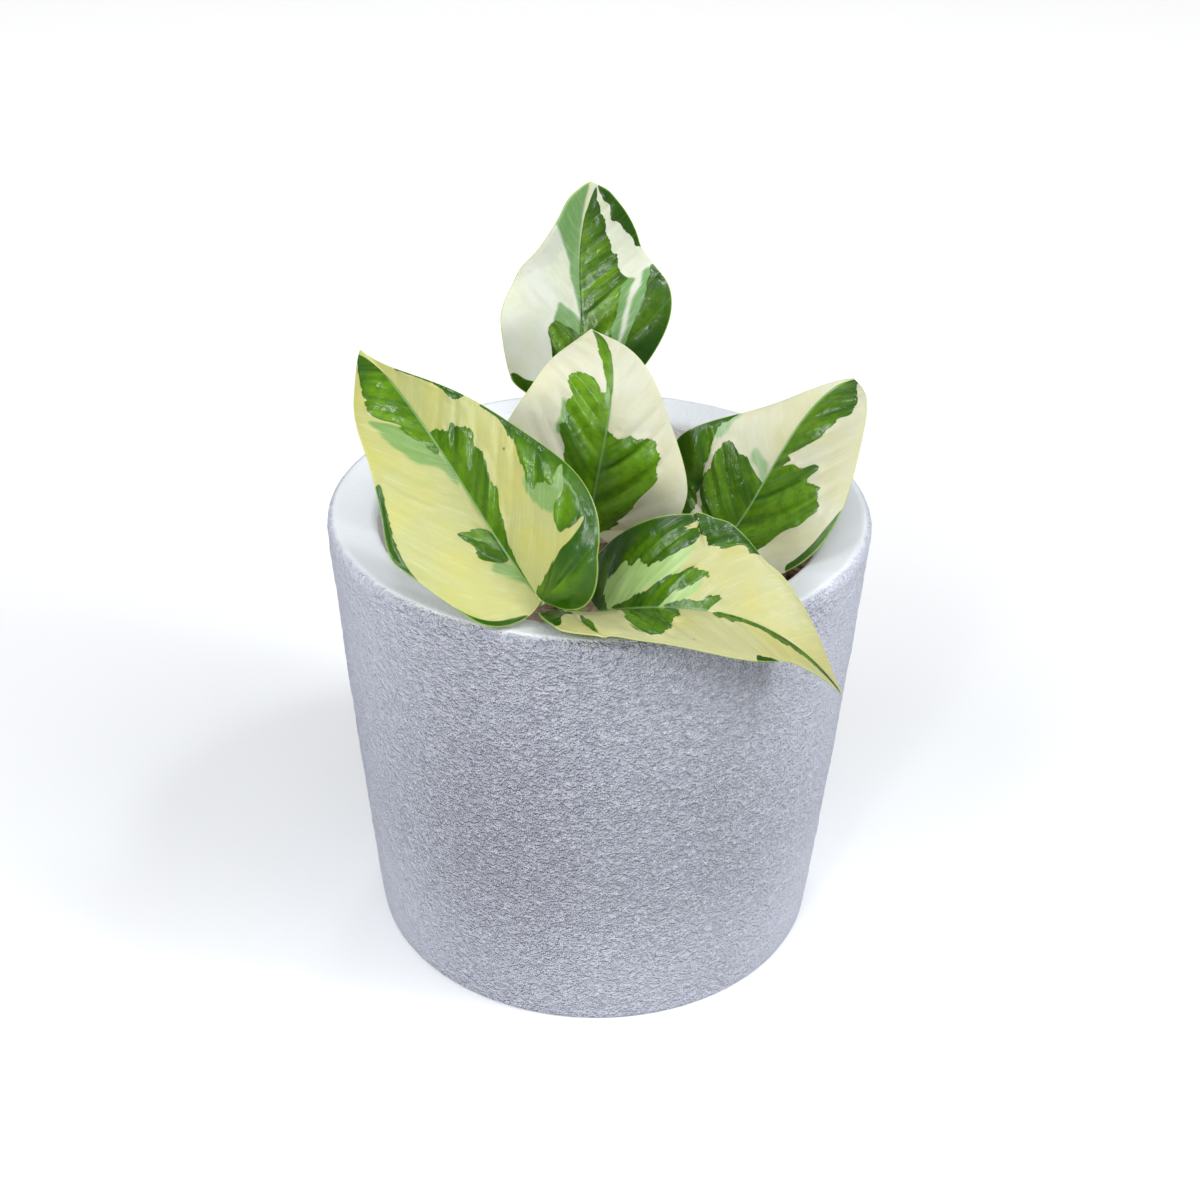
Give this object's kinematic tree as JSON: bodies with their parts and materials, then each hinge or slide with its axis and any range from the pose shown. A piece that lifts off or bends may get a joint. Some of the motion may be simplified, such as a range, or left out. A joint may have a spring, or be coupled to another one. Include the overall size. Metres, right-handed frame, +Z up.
{
  "type": "potted glacier pothos",
  "caption": "Small cream and green variegated pothos whose heart-shaped leaves stand over the mouth of a round, thick-walled, pebbled planter.",
  "frame": {"origin": "centre of the planter's flat base, on the planter's axis", "axes": "+Z up along the planter's axis; the front of the plant, as the picture sees it, is towards -Y, and +X is to the right seen from there"},
  "size_m": [0.13, 0.1414, 0.181],
  "materials": {
    "planter": "matte",
    "soil": "matte",
    "stem": "satin",
    "leaf": "gloss"
  },
  "bodies": {
    "root": {"pot": "planter", "potting_mix": "soil", "stems_front": "stem", "stems_rear": "stem", "leaf_left": "leaf", "leaf_front": "leaf", "leaf_centre": "leaf", "leaf_right": "leaf", "leaf_back": "leaf"}
  },
  "joints": []
}
